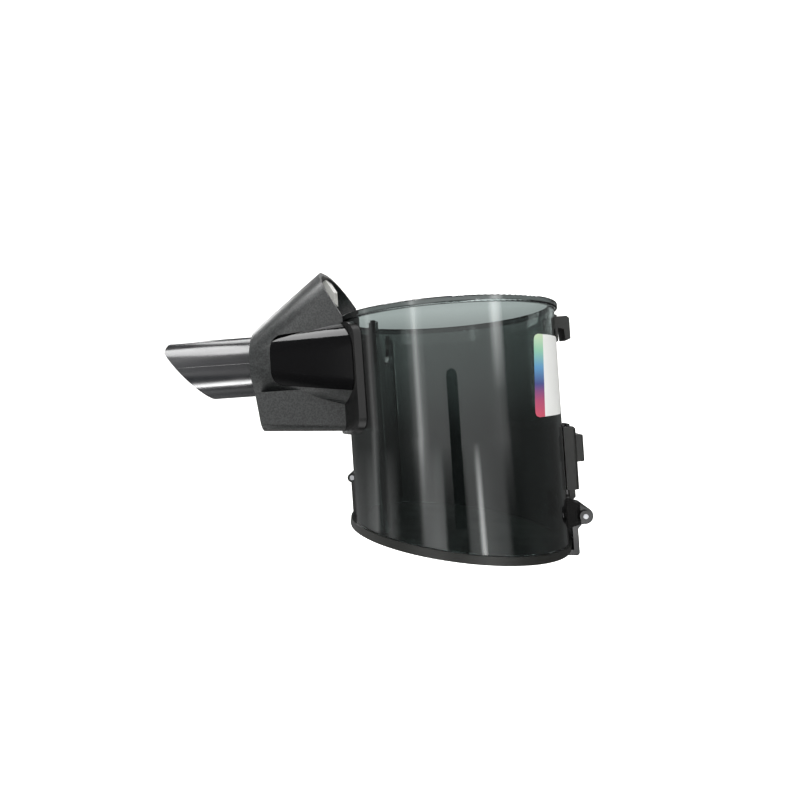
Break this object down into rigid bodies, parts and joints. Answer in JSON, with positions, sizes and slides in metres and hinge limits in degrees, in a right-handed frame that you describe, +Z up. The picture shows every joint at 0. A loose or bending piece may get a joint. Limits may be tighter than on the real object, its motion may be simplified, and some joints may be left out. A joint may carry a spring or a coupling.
{
  "type": "cyclone dust bin",
  "caption": "Smoky clear dust bin of a stick vacuum with a side inlet spigot in a peaked housing, a slanted hinged bottom lid and a sliding release that swings the lid hook.",
  "frame": {"origin": "centre of the rim's top face, on the bin axis", "axes": "+Z up the bin axis out of the open top, -X along the inlet tube, lid hook at +X"},
  "size_m": [0.2148, 0.114, 0.1553],
  "materials": {
    "smoke_clear": "clear smoky polycarbonate, polished",
    "matte_black": "moulded black ABS, fine texture",
    "satin_grey": "moulded dark grey ABS, satin",
    "graphite": "moulded graphite ABS, satin",
    "piano_black": "glossy black ABS",
    "black_rubber": "soft black rubber",
    "pin_steel": "drawn steel",
    "white_nylon": "moulded white nylon",
    "contact_brass": "bright brass"
  },
  "bodies": {
    "bin": {"bin_cup": "smoke_clear", "inlet_baffle": "smoke_clear", "lid_hinge_pin": "pin_steel", "inlet_tube": "graphite", "inlet_seal": "black_rubber", "saddle_plate": "matte_black", "saddle_screws": "pin_steel", "near_panel": "piano_black", "far_panel": "piano_black", "inlet_housing": "satin_grey", "connector_shell": "white_nylon", "contact_pins": "contact_brass", "latch_frame": "matte_black", "rear_catch": "matte_black", "hook_pin": "pin_steel", "hook_spring": "pin_steel"},
    "lid": {"bottom_lid": "matte_black", "lid_seal": "black_rubber"},
    "slider": {"release_slider": "matte_black", "thumb_button": "matte_black"},
    "hook": {"lid_hook": "matte_black"}
  },
  "joints": [
    {"name": "lid_hinge", "type": "hinge", "parent": "bin", "child": "lid", "pos_m": [-0.0539, 0, -0.0818], "axis": [0, 1, 0], "range_deg": [0, 95]},
    {"name": "release_slide", "type": "slide", "parent": "bin", "child": "slider", "axis": [0, 0, -1], "range_m": [0, 0.0022], "stiffness_N_per_m": 400, "springref_m": -0.003},
    {"name": "hook_pivot", "type": "hinge", "parent": "bin", "child": "hook", "pos_m": [0.0628, 0, -0.1076], "axis": [0, -1, 0], "range_deg": [0, 24], "deforming": ["hook_spring"]}
  ],
  "couplings": [
    {"joint": "hook_pivot", "follows": "release_slide", "rad_per_m": 190.4}
  ]
}
